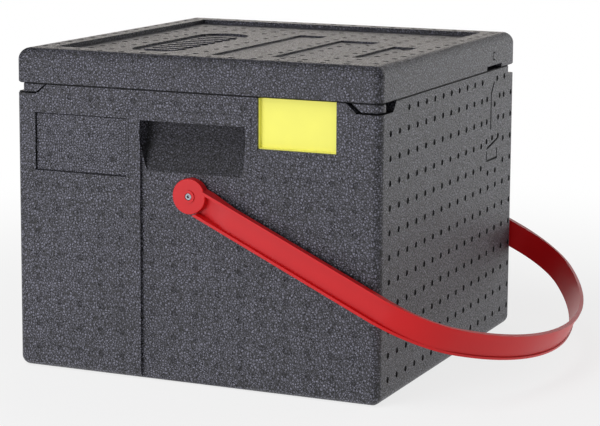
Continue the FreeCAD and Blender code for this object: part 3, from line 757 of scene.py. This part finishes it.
class CARRIER_OT_studio(bpy.types.Operator):
    """Make the pale floor, the soft lights and the camera"""

    bl_idname = "carrier.studio"
    bl_label = "Studio"

    def execute(self, context):
        settings = context.scene.carrier_studio
        self.floor(settings)
        self.lights(context)
        self.camera(context, settings)
        return {"FINISHED"}

    def floor(self, settings):
        """The pale paper that the carrier stands on."""
        reach = settings.floor_size / 2
        mesh = bpy.data.meshes.new("studio_floor")
        mesh.from_pydata([(-reach, -reach, 0), (reach, -reach, 0), (reach, reach, 0),
                          (-reach, reach, 0)], [], [(0, 1, 2, 3)])
        floor = new_object("studio_floor", mesh)
        floor.location.z = -FLOOR_DROP
        material, tree, shader = new_material("matt_paper_sweep")
        shader.inputs["Base Color"].default_value = (0.9, 0.9, 0.9, 1)
        shader.inputs["Roughness"].default_value = 0.9
        shader.inputs["Specular IOR Level"].default_value = 0.1
        # far from the object the paper runs into the lit wall of the studio
        place = add_node(tree, "ShaderNodeTexCoord").outputs["Object"]
        away = add_node(tree, "ShaderNodeVectorMath", {"operation": "LENGTH"},
                        links={0: place})
        far = add_node(tree, "ShaderNodeMapRange", {"interpolation_type": "SMOOTHSTEP"},
                       {"From Min": 0.3, "From Max": 1.2, "To Min": 0.78},
                       {"Value": away.outputs["Value"]})
        lit = add_node(tree, "ShaderNodeEmission", None,
                       {"Color": (1, 1, 1, 1), "Strength": 1.0})
        blend = add_node(tree, "ShaderNodeMixShader", links={
            0: far.outputs[0], 1: shader.outputs[0], 2: lit.outputs[0]})
        output = next(node for node in tree.nodes
                      if node.bl_idname == "ShaderNodeOutputMaterial")
        tree.links.new(blend.outputs[0], output.inputs["Surface"])
        mesh.materials.append(material)

    def lights(self, context):
        """The room's even light and the softboxes, all turned to the carrier's middle."""
        world = bpy.data.worlds.new("soft_studio")
        context.scene.world = world
        world.use_nodes = True
        tree = world.node_tree
        tree.nodes.clear()
        room = add_node(tree, "ShaderNodeBackground", None,
                        {"Color": (1, 1, 1, 1), "Strength": ROOM_LIGHT})
        paper = add_node(tree, "ShaderNodeBackground", None,
                         {"Color": (1, 1, 1, 1), "Strength": 1.0})
        ray = add_node(tree, "ShaderNodeLightPath")
        mix = add_node(tree, "ShaderNodeMixShader", links={
            0: ray.outputs["Is Camera Ray"], 1: room.outputs[0], 2: paper.outputs[0]})
        add_node(tree, "ShaderNodeOutputWorld", links={"Surface": mix.outputs[0]})
        for name, place, size, power, colour in SOFTBOXES:
            light = bpy.data.lights.new(name, "AREA")
            light.shape = "SQUARE"
            light.size = size
            light.energy = power
            light.color = linear(colour)
            lamp = bpy.data.objects.new(name, light)
            context.scene.collection.objects.link(lamp)
            lamp.location = place
            aim = Vector((0, 0, CROWN / 2)) - Vector(place)
            lamp.rotation_euler = aim.to_track_quat("-Z", "Y").to_euler()
        context.scene.view_settings.view_transform = "Standard"

    def camera(self, context, settings):
        """The camera, with the turn, dip and roll of the settings."""
        data = bpy.data.cameras.new("camera")
        data.sensor_width = 36
        data.lens = settings.lens
        # a shift in place of some of the dip keeps upright edges nearly upright
        data.shift_y = -0.1
        data.clip_end = 50
        camera = bpy.data.objects.new("camera", data)
        context.scene.collection.objects.link(camera)
        turn = Matrix.Rotation(settings.camera_turn, 4, "Z")
        dip = Matrix.Rotation(math.pi / 2 - settings.camera_dip, 4, "X")
        roll = Matrix.Rotation(settings.camera_roll, 4, "Z")
        place = Matrix.Translation(settings.camera_place)
        camera.matrix_world = place @ turn @ dip @ roll
        context.scene.camera = camera


class CARRIER_OT_foam_box(bpy.types.Operator):
    """Make the foam box with its grooves, open joints, signs and vent marks"""

    bl_idname = "carrier.foam_box"
    bl_label = "Foam box"

    def execute(self, context):
        foam = context.scene.carrier_foam
        box = part_cells(copy_of_node("carrier_body", "foam_box"), foam.mark_pitch, BOX_CELLS)
        box.data.materials.append(foam_skin(foam, "bead_foam_skin"))
        # painted shade in the hollows of the hand grips
        paint_grip_shade(box, foam_skin(foam, "bead_foam_grip"))
        painted_shade = foam_skin(foam, "bead_foam_vent")
        # the seam groove's walls get a skin of painted shade
        combine(box, cutter_object("box_rim", seam_groove), "DIFFERENCE", painted_shade)
        for faces, strokes, width, depth, gets_painted_shade in BOX_CUTS:
            engrave(box, faces, strokes, width, depth, painted_shade if gets_painted_shade else None)
        pitch = foam.mark_pitch / MM
        # painted shade in the marks: dark on the side walls and base, lighter on the front and
        # rear
        press_marks(box, foam, side_marks(pitch), 1.0, "bead_foam_vent")
        press_marks(box, foam, front_marks(pitch), FAINT, "bead_foam_faint_vent")
        shade(box, 30)
        finish_piece(box, "box", "bead_foam", "carrier_body")
        return {"FINISHED"}


class CARRIER_OT_foam_lid(bpy.types.Operator):
    """Make the foam lid with its groove, capsule, ribs, bracket and vent marks"""

    bl_idname = "carrier.foam_lid"
    bl_label = "Foam lid"

    def execute(self, context):
        foam = context.scene.carrier_foam
        lid = part_cells(copy_of_node("lid", "foam_lid"), foam.mark_pitch, LID_CELLS)
        lid.data.materials.append(foam_skin(foam, "bead_foam_skin"))
        painted_shade = foam_skin(foam, "bead_foam_vent")
        # the seam groove's walls get a skin of painted shade
        combine(lid, cutter_object("lid_rim", seam_groove), "DIFFERENCE", painted_shade)
        combine(lid, cutter_object("capsule", capsule), "DIFFERENCE")
        engrave(lid, *LID_CUT, painted_shade)
        combine(lid, cutter_object("lid_ribs", capsule_ribs), "UNION")
        # painted shade in the lid's marks
        press_marks(lid, foam, lid_marks(foam.mark_pitch / MM), 1.0, "bead_foam_vent")
        shade(lid, 30)
        finish_piece(lid, "lid", "bead_foam", "lid")
        return {"FINISHED"}


class CARRIER_OT_strap(bpy.types.Operator):
    """Make the red strap and give the pivot caps the same plastic"""

    bl_idname = "carrier.strap"
    bl_label = "Strap"

    def execute(self, context):
        settings = context.scene.carrier_strap
        red = moulded_plastic("red_polypropylene", settings.colour, 0.36, 0.05 * MM)
        strap = copy_of_node("handle_strap", "strap")
        shade(strap, 35)
        strap.data.materials.clear()
        strap.data.materials.append(red)
        finish_piece(strap, "handle", "red_polypropylene", "handle_strap")
        for side in ("front", "rear"):
            dress(side + "_pivot_disc", red)
        return {"FINISHED"}


class CARRIER_OT_label(bpy.types.Operator):
    """Make the yellow label plate"""

    bl_idname = "carrier.label"
    bl_label = "Label plate"

    def execute(self, context):
        settings = context.scene.carrier_label
        plate = copy_of_node("label_plate", "yellow_plate", join=True)
        soften(plate, settings.edge_round)
        shade(plate, 35)
        plate.data.materials.clear()
        plate.data.materials.append(
            moulded_plastic("yellow_card_plastic", settings.colour, 0.55, 0.04 * MM))
        finish_piece(plate, "box", "yellow_plastic", "label_plate")
        return {"FINISHED"}


class CARRIER_OT_fittings(bpy.types.Operator):
    """Give the screws, nuts, washers, bushes and backing plates their materials"""

    bl_idname = "carrier.fittings"
    bl_label = "Pivot fittings"

    def execute(self, context):
        steel = zinc_steel("zinc_plated_steel")
        black = moulded_plastic("black_nylon", linear("#1b1b1c"), 0.5, 0.05 * MM)
        for side in ("front", "rear"):
            for piece in ("pivot_screw", "plain_washer", "lock_nut"):
                dress("%s_%s" % (side, piece), steel)
            for piece in ("pivot_bush", "backing_plate"):
                dress("%s_%s" % (side, piece), black)
        return {"FINISHED"}


class CARRIER_PT_panel(bpy.types.Panel):
    """Lists the carrier's parts in the sidebar"""

    bl_label = "Food Carrier"
    bl_idname = "CARRIER_PT_panel"
    bl_space_type = "VIEW_3D"
    bl_region_type = "UI"
    bl_category = "Food Carrier"

    def draw(self, context):
        for operator, group in SECTIONS:
            box = self.layout.box()
            box.operator(operator)
            if group:
                settings = getattr(context.scene, group)
                for name in settings.bl_rna.properties.keys():
                    if name not in ("rna_type", "name"):
                        box.prop(settings, name)


# what the sidebar lists: each operator and the settings under it
SECTIONS = (
    ("carrier.studio", "carrier_studio"),
    ("carrier.foam_box", "carrier_foam"),
    ("carrier.foam_lid", None),
    ("carrier.strap", "carrier_strap"),
    ("carrier.label", "carrier_label"),
    ("carrier.fittings", None),
)
GROUPS = {
    "carrier_studio": StudioSettings,
    "carrier_foam": FoamSettings,
    "carrier_strap": StrapSettings,
    "carrier_label": LabelSettings,
}
CLASSES = (*GROUPS.values(), CARRIER_OT_studio, CARRIER_OT_foam_box, CARRIER_OT_foam_lid,
           CARRIER_OT_strap, CARRIER_OT_label, CARRIER_OT_fittings, CARRIER_PT_panel)


def register():
    for item in CLASSES:
        bpy.utils.register_class(item)
    for name, group in GROUPS.items():
        setattr(bpy.types.Scene, name, bpy.props.PointerProperty(type=group))


def unregister():
    for name in GROUPS:
        delattr(bpy.types.Scene, name)
    for item in reversed(CLASSES):
        bpy.utils.unregister_class(item)


def main():
    register()
    bpy.ops.carrier.studio()
    bpy.ops.carrier.foam_box()
    bpy.ops.carrier.foam_lid()
    bpy.ops.carrier.strap()
    bpy.ops.carrier.label()
    bpy.ops.carrier.fittings()


if __name__ == "__main__":
    main()
